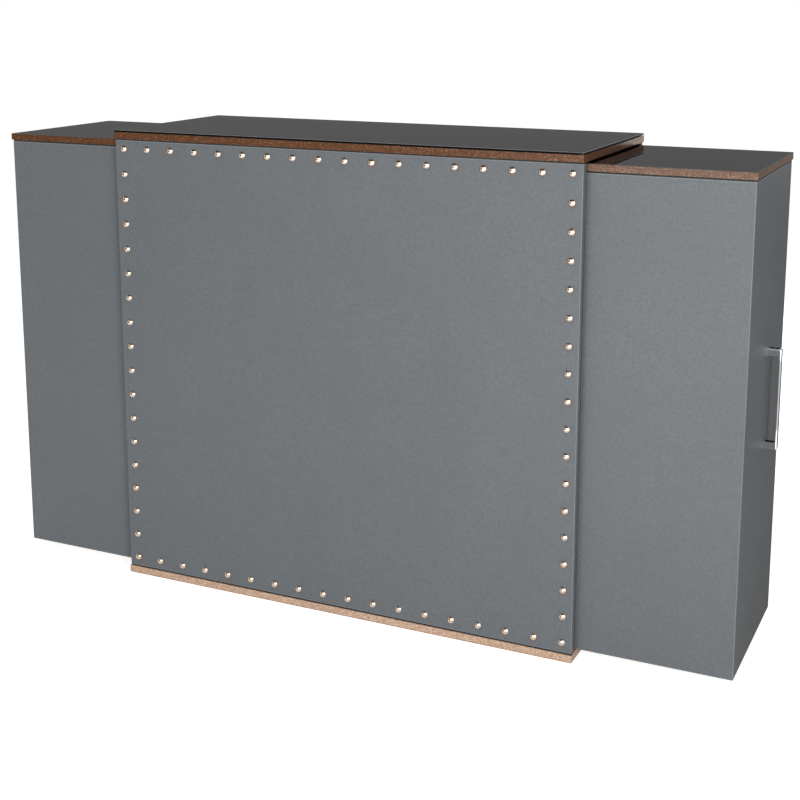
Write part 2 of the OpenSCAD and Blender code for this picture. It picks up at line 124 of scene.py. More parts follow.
def make_camera():
    """The photograph's camera, whose shift keeps the upright edges about as upright as they are there."""
    data = bpy.data.cameras.new("camera")
    data.sensor_width = 36.0
    data.lens = FOCAL_PX * data.sensor_width / PHOTO_PX
    data.shift_y = (OPTICAL_ROW - PHOTO_PX / 2) / PHOTO_PX
    cam = bpy.data.objects.new("camera", data)
    turn = Matrix.Rotation(math.radians(CAMERA_YAW), 4, "Z")
    tilt = Matrix.Rotation(math.radians(90 + CAMERA_PITCH), 4, "X")
    roll = Matrix.Rotation(math.radians(CAMERA_ROLL), 4, "Z")
    cam.matrix_world = Matrix.Translation(CAMERA_PLACE) @ turn @ tilt @ roll
    bpy.context.scene.collection.objects.link(cam)
    bpy.context.scene.camera = cam


# Mesh helpers

def add_mesh(name, verts, faces, material, sharp_angle=35.0, stretch=None):
    """A smooth-shaded mesh from points in millimetres, sharp where its faces meet at more than sharp_angle.
    stretch says, from 0 to 1 at each point, where a cover's colour is lightened over an edge as a painted
    highlight, or how matt glass is."""
    mesh = bpy.data.meshes.new(name)
    mesh.from_pydata([tuple(c * MM for c in v) for v in verts], [], faces)
    if stretch:
        mesh.attributes.new("stretch", "FLOAT", "POINT").data.foreach_set("value", stretch)
    bm = bmesh.new()
    bm.from_mesh(mesh)
    bmesh.ops.remove_doubles(bm, verts=bm.verts, dist=1e-6)
    bmesh.ops.dissolve_degenerate(bm, dist=1e-7, edges=bm.edges)
    bmesh.ops.recalc_face_normals(bm, faces=bm.faces)
    bm.to_mesh(mesh)
    bm.free()
    mesh.polygons.foreach_set("use_smooth", [True] * len(mesh.polygons))
    mesh.set_sharp_from_angle(angle=math.radians(sharp_angle))
    mesh.materials.append(material)
    obj = bpy.data.objects.new(name, mesh)
    bpy.context.scene.collection.objects.link(obj)
    return obj


def flat_faced(obj):
    """Keeps the broad flat faces flat to the light, so that only the rounded edges bend a reflection."""
    modifier = obj.modifiers.new("flat_faces", "WEIGHTED_NORMAL")
    modifier.keep_sharp = True
    modifier.weight = 100
    return obj


def place(obj, body, slot, *nodes):
    """Puts a finished piece on its body and hides the CAD nodes that it stands for. Its slot is not used."""
    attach(obj, body)
    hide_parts(*nodes)
    return obj


def box_mm(node):
    """A CAD node's lowest and highest corner, in millimetres."""
    low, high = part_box(node)
    return [c / MM for c in low], [c / MM for c in high]


def arc(centre, radius, start, end, steps):
    """Points and outward normals along an arc in the plan, angles in degrees."""
    out = []
    for i in range(steps + 1):
        a = math.radians(start + (end - start) * i / steps)
        nx, ny = math.cos(a), math.sin(a)
        out.append((centre[0] + radius * nx, centre[1] + radius * ny, nx, ny))
    return out


def joined_rings(rings, n, first=0):
    """Faces between closed rings of n points, stacked from the point called first, with both ends closed."""
    faces = [(first + k * n + i, first + k * n + (i + 1) % n, first + (k + 1) * n + (i + 1) % n,
              first + (k + 1) * n + i) for k in range(rings - 1) for i in range(n)]
    return faces + [tuple(range(first, first + n)), tuple(range(first + (rings - 1) * n, first + rings * n))]


def merged(values, low, high, gap):
    """Sorted values between low and high, without any that lie closer than gap to the one before."""
    out = [low]
    for v in sorted(values):
        if v - out[-1] >= gap and high - v >= gap:
            out.append(v)
    out.append(high)
    return out


def edge_levels(low, high, middle):
    """Heights up a wrapped cover with how far its face is drawn in there: rounded over at both ends."""
    steps = 6
    turn = [math.radians(90 * i / steps) for i in range(steps + 1)]
    foot = [(low + COVER_EDGE_H * (1 - math.cos(a)), COVER_T * (1 - math.sin(a))) for a in turn]
    head = [(low + high - z, inset) for z, inset in reversed(foot)]
    return foot + [(z, 0.0) for z in middle] + head


def skin(name, stations, levels, material, press=None):
    """A thin cover drawn along the stations (x, y, normal x, normal y) and up the levels (height, inset).
    Its back lies on the board; press(x, y, height) draws its face in."""
    verts, faces, stretch = [], [], []
    n = len(levels)
    for x, y, nx, ny in stations:
        corner = min(abs(nx), abs(ny)) > 0.3
        for z, inset in levels:
            d = inset + (press(x, y, z) if press and inset == 0 else 0.0)
            verts.append((x - nx * d, y - ny * d, z))
            # stretch is 1 round the corners and the rolled edges, where the leather's grey is lightened as a
            # painted highlight
            stretch.append(1.0 if corner or inset > 0 else 0.0)
    for s in range(len(stations) - 1):
        for k in range(n):
            a, b = s * n + k, s * n + (k + 1) % n
            faces.append((a, b, b + n, a + n))
    faces.append(tuple(range(n)))
    faces.append(tuple(range((len(stations) - 1) * n, len(stations) * n)))
    return add_mesh(name, verts, faces, material, stretch=stretch)


# Pieces

def nail_places():
    """The nails' centres (x, z) on the front panel, once round it."""
    low, high = box_mm("front_panel_cover")
    x0, x1 = low[0] + NAIL_INSET, high[0] - NAIL_INSET
    z0, z1 = low[2] + NAIL_INSET, high[2] - NAIL_INSET
    last = NAILS_PER_SIDE - 1
    across = [x0 + (x1 - x0) * i / last for i in range(NAILS_PER_SIDE)]
    up = [z0 + (z1 - z0) * i / last for i in range(NAILS_PER_SIDE)]
    rows = [(x, z) for z in (z0, z1) for x in across]
    columns = [(x, z) for x in (x0, x1) for z in up[1:-1]]
    return rows + columns, across, up


def panel_stations(low, high, xs):
    """Once round the front panel, from hem to hem, with the places xs along its front."""
    r = COVER_CORNER_R
    hem_x = high[0] - COVER_T - HEM_W
    side_ys = [low[1] + r + (high[1] - low[1] - 2 * r) * t for t in (0.25, 0.5, 0.75)]
    stations = [(-hem_x, high[1], 0.0, 1.0), (-hem_x - HEM_W / 2, high[1], 0.0, 1.0)]
    stations += arc((low[0] + r, high[1] - r), r, 90, 180, 5)
    stations += [(low[0], y, -1.0, 0.0) for y in reversed(side_ys)]
    stations += arc((low[0] + r, low[1] + r), r, 180, 270, 6)
    stations += [(x, low[1], 0.0, -1.0) for x in xs]
    stations += arc((high[0] - r, low[1] + r), r, -90, 0, 6)
    stations += [(high[0], y, 1.0, 0.0) for y in side_ys]
    stations += arc((high[0] - r, high[1] - r), r, 0, 90, 5)
    return stations + [(hem_x + HEM_W / 2, high[1], 0.0, 1.0), (hem_x, high[1], 0.0, 1.0)]


def front_panel_skin(material):
    """The front panel's grey cover, wrapped round its sides on to the back and pressed in round each nail."""
    low, high = box_mm("front_panel_cover")
    places, across, up = nail_places()
    centres = np.array(places)
    r = COVER_CORNER_R

    def lines(middles, start, end):
        near = [m + s * d for m in middles for d in NAIL_LINES for s in (-1, 1)]
        return merged(near, start, end, LINE_GAP)

    def press(x, y, z):
        if y > low[1] + 0.01:
            return 0.0
        d = np.hypot(centres[:, 0] - x, centres[:, 1] - z).min()
        return NAIL_PRESS * math.exp(-(max(d - NAIL_D / 2, 0.0) / NAIL_PRESS_REACH) ** 2)

    xs = lines(across, low[0] + r + CORNER_GAP, high[0] - r - CORNER_GAP)
    zs = lines(up, low[2] + COVER_EDGE_H + EDGE_GAP, high[2] - COVER_EDGE_H - EDGE_GAP)
    levels = edge_levels(low[2] + SEAM_SHOW_LOW, high[2] - SEAM_SHOW, zs)
    obj = skin("front_panel_skin", panel_stations(low, high, xs), levels, material, press)
    return place(obj, "centre", "grey_cover", "front_panel_cover")


def nail_profile():
    """A nail's outline down its dome, round its rolled rim and along its shank: (radius, height)."""
    edge = NAIL_D / 2
    ball = (edge ** 2 + NAIL_H ** 2) / (2 * NAIL_H)
    turn = [math.asin(edge / ball) * i / NAIL_RINGS for i in range(1, NAIL_RINGS)]
    dome = [(ball * math.sin(a), NAIL_H - ball * (1 - math.cos(a))) for a in turn]
    rim = [(edge - 0.08, 0.28), (edge, 0.05), (edge - 0.1, -0.25), (edge - 0.5, -0.38), (edge - 1.4, -0.3)]
    return dome + rim + [(NAIL_SHANK_R, -0.3), (NAIL_SHANK_R, -NAIL_SHANK_LEN)]


def domed_nails(material):
    """A domed nail at each place, a hair off square as when driven by hand."""
    low, _ = box_mm("front_panel_cover")
    profile = nail_profile()
    n = NAIL_SIDES
    ring = [(math.cos(2 * math.pi * k / n), math.sin(2 * math.pi * k / n)) for k in range(n)]
    nail = [Vector((0, -NAIL_H, 0))] + [Vector((r * c, -h, r * s)) for r, h in profile for c, s in ring]
    nail.append(Vector((0, NAIL_POINT_LEN, 0)))
    rng = random.Random(68)
    verts, faces = [], []
    places, _, _ = nail_places()
    for x, z in places:
        lean = math.radians(rng.uniform(0.0, NAIL_LEAN_DEG))
        way = rng.uniform(0, 2 * math.pi)
        turn = Matrix.Rotation(lean, 3, Vector((math.cos(way), 0, math.sin(way))))
        shift_x, shift_z = (rng.uniform(-NAIL_SHIFT, NAIL_SHIFT) for _ in range(2))
        centre = Vector((x + shift_x, low[1] + NAIL_SINK, z + shift_z))
        crown = len(verts)
        verts += [tuple(centre + turn @ (p * NAIL_OVERSIZE)) for p in nail]
        faces += [(crown, crown + 1 + k, crown + 1 + (k + 1) % n) for k in range(n)]
        for i in range(len(profile) - 1):
            a = crown + 1 + i * n
            faces += [(a + k, a + n + k, a + n + (k + 1) % n, a + (k + 1) % n) for k in range(n)]
        point = len(verts) - 1
        a = point - n
        faces += [(a + k, point, a + (k + 1) % n) for k in range(n)]
    obj = add_mesh("domed_nails", verts, faces, material, sharp_angle=60.0)
    return place(obj, "centre", "copper", "nail_heads")


def wing_stations(side, across, along):
    """Over a wing's front, round its outer corner, along its end and over the end's rear edge."""
    low, high = box_mm(side + "_wing_cover")
    sign = 1 if side == "right" else -1
    inner, outer = (low[0], high[0]) if side == "right" else (-high[0], -low[0])
    end_low, end_high = box_mm(side + "_wing_end")
    hem_x = end_low[0] if side == "right" else -end_high[0]
    r, rear_r = COVER_CORNER_R, COVER_REAR_R
    front, rear = low[1], high[1]
    xs = np.linspace(inner, outer - r - CORNER_GAP, across)
    ys = np.linspace(front + r + CORNER_GAP, rear - rear_r - CORNER_GAP, along)
    stations = [(x, front, 0.0, -1.0) for x in xs]
    stations += arc((outer - r, front + r), r, -90, 0, 8)
    stations += [(outer, y, 1.0, 0.0) for y in ys]
    stations += arc((outer - rear_r, rear - rear_r), rear_r, 0, 90, 5)
    stations += [(hem_x, rear, 0.0, 1.0)]
    return [(sign * x, y, sign * nx, ny) for x, y, nx, ny in stations]


def wing_skin(side, material):
    """The grey cover of a wing."""
    node = side + "_wing_cover"
    low, high = box_mm(node)
    zs = np.linspace(low[2] + COVER_EDGE_H + EDGE_GAP, high[2] - COVER_EDGE_H - EDGE_GAP, 72)
    levels = edge_levels(low[2], high[2] - SEAM_SHOW, zs)
    obj = skin(side + "_wing_skin", wing_stations(side, across=56, along=36), levels, material)
    return place(obj, side + "_wing", "grey_cover", node)


def seam_shade_strip(name, body, stations, low, high, material):
    """A black strip set back in the seam between a cover and the board over or under it, as painted shade in
    the seam.
    """
    back = COVER_T - SHADE_STRIP_GAP
    profile = [(low, back), (low, SHADE_STRIP_INSET), (high, SHADE_STRIP_INSET), (high, back)]
    return place(skin(name, stations, profile, material), body, "rubber")


# Black strips that stand for the shade in the seams over and under the covers: painted shade.
def seam_shade_strips(material):
    low, high = box_mm("front_panel_cover")
    xs = np.linspace(low[0] + SHADE_STRIP_END_GAP, high[0] - SHADE_STRIP_END_GAP, 24)
    base_top = box_mm("base_board")[1][2]
    board_low = box_mm("top_board")[0][2]
    stations = panel_stations(low, high, xs)
    seam_shade_strip("front_panel_lower_shade_strip", "centre", stations, base_top + SHADE_STRIP_GAP, low[2] + SHADE_STRIP_TUCK, material)
    seam_shade_strip("front_panel_upper_shade_strip", "centre", stations, high[2] - SHADE_STRIP_TUCK, board_low - SHADE_STRIP_GAP,
              material)
    for side in ("right", "left"):
        top = box_mm(side + "_wing_cover")[1][2]
        board_low = box_mm(side + "_wing_top")[0][2]
        stations = wing_stations(side, across=12, along=8)
        seam_shade_strip(side + "_wing_seam_shade_strip", side + "_wing", stations, top - SHADE_STRIP_TUCK, board_low - SHADE_STRIP_GAP,
                  material)


def gap_shade_lips(material):
    """A lip down each side edge of the front panel's back: a foot on the panel, and a blade that stops just
    short of the sliding wings. Its black rubber darkens the gap beside the wings as painted shade."""
    low, high = box_mm("front_panel_cover")
    z0, z1 = box_mm("base_board")[1][2] + LIP_GAP, box_mm("top_board")[0][2] - LIP_GAP
    tip = box_mm("right_wing_top")[0][1] - LIP_GAP
    root, edge = high[1] - LIP_SINK, high[0]
    foot_x, foot_y = edge - LIP_FOOT_W, root + LIP_FOOT_T
    plan = [(foot_x, root), (edge - 1.4, root), (edge - 1.1, foot_y), (edge - 1.1, tip - 0.5),
            (edge - 1.6, tip), (edge - 3.0, tip), (edge - 3.6, root + 2.0), (foot_x, foot_y)]
    verts, faces = [], []
    for sign in (1, -1):
        faces += joined_rings(2, len(plan), len(verts))
        verts += [(sign * x, y, z) for z in (z0, z1) for x, y in plan]
    return place(add_mesh("gap_shade_lips", verts, faces, material), "centre", "rubber")


def arrised_slab(name, low, high, material, corner_r, arris, arris_low):
    """A flat slab with rounded upright corners, a ground arris round its top and a finer one underneath."""
    corners = [((high[0] - corner_r, high[1] - corner_r), 0), ((low[0] + corner_r, high[1] - corner_r), 90),
               ((low[0] + corner_r, low[1] + corner_r), 180), ((high[0] - corner_r, low[1] + corner_r), 270)]
    plan = [p for centre, a in corners for p in arc(centre, corner_r, a, a + 90, 4)]
    steps = 3
    turn = [math.radians(90 * i / steps) for i in range(steps + 1)]
    foot = [(low[2] + arris_low * (1 - math.cos(a)), arris_low * (1 - math.sin(a))) for a in turn]
    head = [(high[2] - arris * (1 - math.cos(a)), arris * (1 - math.sin(a))) for a in reversed(turn)]
    levels = foot + head
    verts = [(x - nx * inset, y - ny * inset, z) for z, inset in levels for x, y, nx, ny in plan]
    matt = [0.0] * len(foot) + [1.0 if 0.0 < inset < arris else 0.0 for _, inset in head]
    ground = [value for value in matt for _ in plan]
    faces = joined_rings(len(levels), len(plan))
    return flat_faced(add_mesh(name, verts, faces, material, sharp_angle=60.0, stretch=ground))


def glass_pane(material):
    low, high = box_mm("top_glass")
    obj = arrised_slab("glass_pane", low, high, material, corner_r=2.0, arris=1.0, arris_low=0.3)
    return place(obj, "centre", "black_glass", "top_glass")


def laminate_sheet(side, material):
    node = side + "_wing_laminate"
    low, high = box_mm(node)
    name = side + "_wing_gloss_sheet"
    obj = arrised_slab(name, low, high, material, corner_r=0.6, arris=0.75, arris_low=0.1)
    return place(obj, side + "_wing", "black_laminate", node)


def handle_loop(reach, length):
    """A handle's outline in the plane of its bar and arms: points (reach, height), and how many of its edges
    lie on the outside."""
    half = length / 2
    gap_reach, gap_half = reach - HANDLE_BAR_T, half - HANDLE_ARM_H
    ro, ri = HANDLE_OUTER_R, HANDLE_INNER_R

    def bend(x, z, r, start, end):
        return [point[:2] for point in arc((x, z), r, start, end, 7)]

    outside = ([(0.0, -half)] + bend(reach - ro, -half + ro, ro, -90, 0)
               + bend(reach - ro, half - ro, ro, 0, 90) + [(0.0, half)])
    inside = ([(0.0, gap_half)] + bend(gap_reach - ri, gap_half - ri, ri, 90, 0)
              + bend(gap_reach - ri, -gap_half + ri, ri, 0, -90) + [(0.0, -gap_half)])
    return outside + inside, len(outside)


def handle_profile():
    """From a handle's side to its middle: depth, and how far the outer and the inner outline are drawn in."""
    outer = [(d, HANDLE_SLOPE_IN - HANDLE_SLOPE_RATE * d) for d in HANDLE_SLOPE_DEPTHS] + HANDLE_TURN
    r = HANDLE_INNER_EDGE_R
    return [(d, inset, r - math.sqrt(r * r - max(r - d, 0.0) ** 2)) for d, inset in outer]


def drawn_in(outline, outer_edges, outer, inner):
    """The outline with its outer and inner edges moved inward, but for the two that stand on the panel."""
    n = len(outline)
    edges = []
    for i in range(n):
        (x0, z0), (x1, z1) = outline[i], outline[(i + 1) % n]
        length = math.hypot(x1 - x0, z1 - z0)
        amount = outer if i < outer_edges else inner
        if x0 == 0.0 and x1 == 0.0:
            amount = 0.0
        edges.append((-(z1 - z0) / length, (x1 - x0) / length, amount))
    out = []
    for i, (x, z) in enumerate(outline):
        (ax, az, aw), (bx, bz, bw) = edges[i - 1], edges[i]
        det = ax * bz - az * bx
        if abs(det) < 0.02:
            out.append((x + (ax * aw + bx * bw) / 2, z + (az * aw + bz * bw) / 2))
        else:
            out.append((x + (aw * bz - bw * az) / det, z + (ax * bw - bx * aw) / det))
    return out


def chrome_handle(side, material):
    """A D-handle: two deep arms and a grip bar, every long edge eased."""
    node = side + "_wing_handle"
    low, high = box_mm(node)
    face_x = low[0] if side == "right" else high[0]
    sign = 1 if side == "right" else -1
    mid_y, mid_z = (low[1] + high[1]) / 2, (low[2] + high[2]) / 2
    half = (high[1] - low[1]) / 2
    near = [(-half + depth, outer, inner) for depth, outer, inner in handle_profile()]
    levels = near + [(-y, outer, inner) for y, outer, inner in reversed(near)]
    outline, outer_edges = handle_loop(high[0] - low[0], high[2] - low[2])
    verts = [(face_x + sign * x, mid_y + y, mid_z + z)
             for y, outer, inner in levels for x, z in drawn_in(outline, outer_edges, outer, inner)]
    faces = joined_rings(len(levels), len(outline))
    obj = flat_faced(add_mesh(side + "_wing_chrome_handle", verts, faces, material, sharp_angle=21.5))
    return place(obj, side + "_wing", "chrome", node)


# Materials

# Scale of a board's chips, which lie flat, and the heights in millimetres between which a foot's painted
# shade fades out
FLAT_CHIPS = (0.84, 0.84, 1.35)
FOOT_SHADE_LOW = 1.2
FOOT_SHADE_HIGH = 3.0


class Shader:
    """A material with a Principled shader, and short ways to add nodes to it."""

    def __init__(self, name, **sockets):
        self.material = bpy.data.materials.new(name)
        self.material.use_nodes = True
        self.tree = self.material.node_tree
        self.bsdf = self.tree.nodes["Principled BSDF"]
        for key, value in sockets.items():
            socket = self.bsdf.inputs[key.replace("_", " ")]
            socket.default_value = (*value, 1.0) if isinstance(value, tuple) else value
        self.coord = self.tree.nodes.new("ShaderNodeTexCoord").outputs["Object"]

    def node(self, kind, inputs, output, **props):
        made = self.tree.nodes.new("ShaderNode" + kind)
        for key, value in props.items():
            setattr(made, key, value)
        for key, value in inputs.items():
            socket = made.inputs[key]
            if isinstance(value, bpy.types.NodeSocket):
                self.tree.links.new(value, socket)
            else:
                socket.default_value = value
        return made.outputs[output]

    def stretch(self, scale):
        return self.node("Mapping", {"Vector": self.coord, "Scale": scale}, "Vector")

    def noise(self, scale, detail=3.0, vector=None, rough=0.5, distortion=0.0):
        return self.node("TexNoise", {"Vector": vector or self.coord, "Scale": scale, "Detail": detail,
                                      "Roughness": rough, "Distortion": distortion}, "Fac")

    def voronoi(self, scale, feature="F1", vector=None, output="Distance", smooth=None):
        inputs = {"Vector": vector or self.coord, "Scale": scale}
        if smooth is not None:
            inputs["Smoothness"] = smooth
        return self.node("TexVoronoi", inputs, output, feature=feature)

    def span(self, value, low, high, out_low, out_high):
        return self.node("MapRange", {"Value": value, "From Min": low, "From Max": high,
                                      "To Min": out_low, "To Max": out_high}, "Result")

    def spread(self, noise, out_low, out_high):
        """A noise, most of which lies between 0.3 and 0.7, spread from out_low to out_high."""
        return self.span(noise, 0.3, 0.7, out_low, out_high)

    def math(self, operation, a, b):
        return self.node("Math", {0: a, 1: b}, "Value", operation=operation)

    def ramp(self, value, stops):
        made = self.tree.nodes.new("ShaderNodeValToRGB")
        self.tree.links.new(value, made.inputs["Fac"])
        elements = made.color_ramp.elements
        while len(elements) < len(stops):
            elements.new(0.5)
        for element, (place_at, colour) in zip(elements, stops):
            element.position = place_at
            element.color = (*colour, 1.0)
        return made.outputs["Color"]

    def mix(self, factor, a, b):
        made = self.tree.nodes.new("ShaderNodeMix")
        made.data_type = "RGBA"
        for index, value in ((0, factor), (6, a), (7, b)):
            if isinstance(value, bpy.types.NodeSocket):
                self.tree.links.new(value, made.inputs[index])
            else:
                made.inputs[index].default_value = (*value, 1.0) if isinstance(value, tuple) else value
        return made.outputs[2]

    def colour(self, socket):
        self.tree.links.new(socket, self.bsdf.inputs["Base Color"])

    def roughness(self, socket):
        self.tree.links.new(socket, self.bsdf.inputs["Roughness"])

    def bump(self, height, strength, depth_mm):
        inputs = {"Height": height, "Strength": strength, "Distance": depth_mm * MM}
        made = self.node("Bump", inputs, "Normal")
        self.tree.links.new(made, self.bsdf.inputs["Normal"])


def scaled(colour, factor):
    return tuple(c * factor for c in colour)


def leather_cloth():
    """Grey vinyl leather-cloth: fine pebbled grain, faint mottling, satin, with painted shade in the creases
    of its grain and a painted highlight along its rounded edges.
    """
    s = Shader("grey_leather_cloth", Roughness=0.5, Specular_IOR_Level=0.25, Coat_Weight=0.05,
               Coat_Roughness=0.3)
    grey = (0.1575, 0.1695, 0.1805)
    wide = s.noise(5.0, 3.0)
    mid = s.noise(210.0, 4.0, rough=0.65)
    pebble = s.voronoi(820.0, "SMOOTH_F1", smooth=0.6)
    crease = s.voronoi(820.0, "DISTANCE_TO_EDGE")
    fine = s.noise(2600.0, 2.0)
    tone = s.mix(s.spread(wide, 0.0, 1.0), scaled(grey, 0.99), scaled(grey, 1.085))
    tone = s.mix(s.spread(mid, 0.0, 1.0), scaled(grey, 0.78), tone)
    # The creases of the grain are darkened: painted shade.
    tone = s.mix(s.span(crease, 0.0, 0.16, 0.35, 0.0), tone, scaled(grey, 0.72))
    # Round the corners and the rolled edges the grey is lightened towards 1.42 times: a painted highlight.
    # The roughness drops a little there as wear.
    painted_edge_highlight = s.node("Attribute", {}, "Fac", attribute_name="stretch")
    s.colour(s.mix(s.math("MULTIPLY", painted_edge_highlight, 0.8), tone, scaled(grey, 1.42)))
    worn = s.span(painted_edge_highlight, 0.0, 1.0, 0.0, -0.1)
    s.roughness(s.math("ADD", worn, s.spread(fine, 0.44, 0.54)))
    height = s.math("ADD", s.math("MULTIPLY", pebble, -0.8), s.math("MULTIPLY", fine, 0.25))
    s.bump(height, 0.35, 0.25)
    return s.material


def speckled_board(name, colour, light, dark, rough, seed, gloss, foot=False):
    """Dense particle board: pressed chips a few millimetres across, which lie flat, some dark and some pale.
    A foot is a board that stands on the floor, darkened along its lower edge with painted shade where it
    meets the floor."""
    s = Shader(name, Roughness=rough, Specular_IOR_Level=gloss)
    moved = s.node("Mapping", {"Vector": s.coord, "Location": (seed, seed * 0.7, 0.0), "Scale": FLAT_CHIPS},
                   "Vector")
    cells = s.voronoi(430.0, vector=moved, output="Color")
    chips = s.node("SeparateColor", {"Color": cells}, "Red")
    blur = s.noise(520.0, 4.0, moved, 0.65)
    wide = s.noise(26.0, 3.0, moved)
    dust = s.noise(1900.0, 2.0, moved)
    value = s.math("ADD", s.math("MULTIPLY", chips, 0.55), s.math("MULTIPLY", blur, 0.65))
    tone = s.ramp(value, [(0.28, dark), (0.45, scaled(colour, 0.79)), (0.60, colour),
                          (0.76, scaled(colour, 1.22)), (0.92, light)])
    tone = s.mix(s.spread(wide, 0.0, 0.3), tone, scaled(colour, 0.8))
    tone = s.mix(s.spread(dust, 0.0, 0.18), tone, dark)
    # A foot's lower edge is darkened: painted shade where the board meets the floor.
    if foot:
        height = s.node("SeparateXYZ", {"Vector": s.coord}, "Z")
        tone = s.mix(s.span(height, FOOT_SHADE_LOW * MM, FOOT_SHADE_HIGH * MM, 0.85, 0.0), tone, dark)
    s.colour(tone)
    s.roughness(s.spread(blur, rough - 0.07, rough + 0.09))
    s.bump(s.math("ADD", value, s.math("MULTIPLY", dust, 0.3)), 0.3, 0.2)
    return s.material


def black_gloss(name, rough, ior, ground_tone):
    """Black backed glass or high-gloss laminate: a deep black, with faint wiping marks in its gloss."""
    s = Shader(name, Roughness=rough, IOR=ior)
    wiped = s.noise(14.0, 4.0, s.stretch((0.35, 2.2, 1.0)), 0.6, 0.4)
    dust = s.noise(900.0, 2.0)
    tone = s.mix(s.span(dust, 0.62, 0.8, 0.0, 0.6), (0.0035, 0.0037, 0.004), (0.010, 0.0104, 0.011))
    ground = s.node("Attribute", {}, "Fac", attribute_name="stretch")
    s.colour(s.mix(ground, tone, (ground_tone, ground_tone, ground_tone)))
    matt = s.math("MULTIPLY", ground, 0.36)
    s.roughness(s.math("ADD", s.span(wiped, 0.35, 0.7, rough, rough + 0.035), matt))
    return s.material


def copper():
    """Polished copper plate with hair marks and a little darkening in its gloss."""
    s = Shader("copper_plate", Metallic=1.0, Roughness=0.08)
    marks = s.noise(700.0, 3.0, s.stretch((1.0, 1.0, 0.25)))
    spots = s.noise(160.0, 3.0)
    s.colour(s.mix(s.span(spots, 0.35, 0.7, 0.0, 1.0), (0.655, 0.522, 0.43), (0.56, 0.433, 0.35)))
    s.roughness(s.spread(marks, 0.05, 0.11))
    s.bump(marks, 0.1, 0.05)
    return s.material


def chrome():
    """Chrome plate with faint wiping marks."""
    s = Shader("chrome_plate", Metallic=1.0, Roughness=0.06)
    marks = s.noise(240.0, 3.0, s.stretch((1.0, 1.0, 0.12)))
    s.colour(s.mix(s.spread(marks, 0.0, 1.0), (0.66, 0.67, 0.68), (0.58, 0.585, 0.595)))
    s.roughness(s.spread(marks, 0.045, 0.1))
    return s.material


def zinc():
    s = Shader("zinc_plate", Metallic=1.0, Roughness=0.3)
    spangle = s.voronoi(600.0, output="Color")
    tone = s.node("SeparateColor", {"Color": spangle}, "Green")
    s.colour(s.mix(s.span(tone, 0.0, 1.0, 0.0, 1.0), (0.47, 0.48, 0.50), (0.62, 0.63, 0.64)))
    s.roughness(s.span(tone, 0.0, 1.0, 0.24, 0.38))
    return s.material


def plain_plastic(name, colour, rough):
    s = Shader(name, Roughness=rough)
    grain = s.noise(1400.0, 3.0)
    s.colour(s.mix(s.spread(s.noise(40.0), 0.0, 1.0), scaled(colour, 0.92), colour))
    s.roughness(s.spread(grain, rough - 0.06, rough + 0.08))
    s.bump(grain, 0.2, 0.1)
    return s.material


def beech():
    s = Shader("beech_wood", Roughness=0.55)
    flecks = s.noise(300.0, 4.0, s.stretch((1.0, 1.0, 0.12)))
    s.colour(s.mix(s.spread(flecks, 0.0, 1.0), (0.50, 0.33, 0.19), (0.66, 0.48, 0.30)))
    s.bump(flecks, 0.2, 0.1)
    return s.material


GREY = leather_cloth()
BROWN = speckled_board("brown_speckled_board", (0.126, 0.0485, 0.0178), light=(0.36, 0.18, 0.09),
                       dark=(0.040, 0.012, 0.005), rough=0.3, seed=0.0, gloss=0.36)
# A lighter copy of the board for the right wing's top: its paleness is a painted sheen.
SHEEN_LIT_WING_BROWN = speckled_board("sheen_lit_wing_board", (0.144, 0.073, 0.042), light=(0.36, 0.22, 0.15),
                            dark=(0.075, 0.032, 0.018), rough=0.38, seed=0.31, gloss=0.42)
# A paler copy of the speckled board for the base: its paleness is painted light from the floor's bounce.
BOUNCE_LIT_TAN = speckled_board("bounce_lit_tan_board", (0.61, 0.415, 0.292), light=(0.84, 0.66, 0.52),
                     dark=(0.30, 0.17, 0.11), rough=0.5, seed=0.57, gloss=0.35, foot=True)
RAW = speckled_board("sealed_board", (0.36, 0.24, 0.15), light=(0.52, 0.38, 0.26),
                     dark=(0.16, 0.095, 0.055), rough=0.48, seed=0.83, gloss=0.4)
# Black for the rear rails, so that the gap under the top board reads dark: painted shade.
SHADE_BLACK_BOARD = speckled_board("shade_black_board", (0.012, 0.0115, 0.011), light=(0.020, 0.019, 0.018),
                             dark=(0.006, 0.006, 0.006), rough=0.55, seed=0.19, gloss=0.4)
GLASS = black_gloss("black_backed_glass", 0.02, 1.5, 0.2)
LAMINATE = black_gloss("black_gloss_laminate", 0.035, 1.48, 0.12)
COPPER = copper()
CHROME = chrome()
ZINC = zinc()
NYLON = plain_plastic("white_nylon", (0.72, 0.71, 0.67), 0.45)
RUBBER = plain_plastic("black_rubber", (0.013, 0.013, 0.013), 0.75)
BEECH = beech()

# Softened edges of the CAD nodes: points this close are joined first, and edges over this angle get an arris
WELD_REACH = 0.02
ARRIS_ANGLE = 50


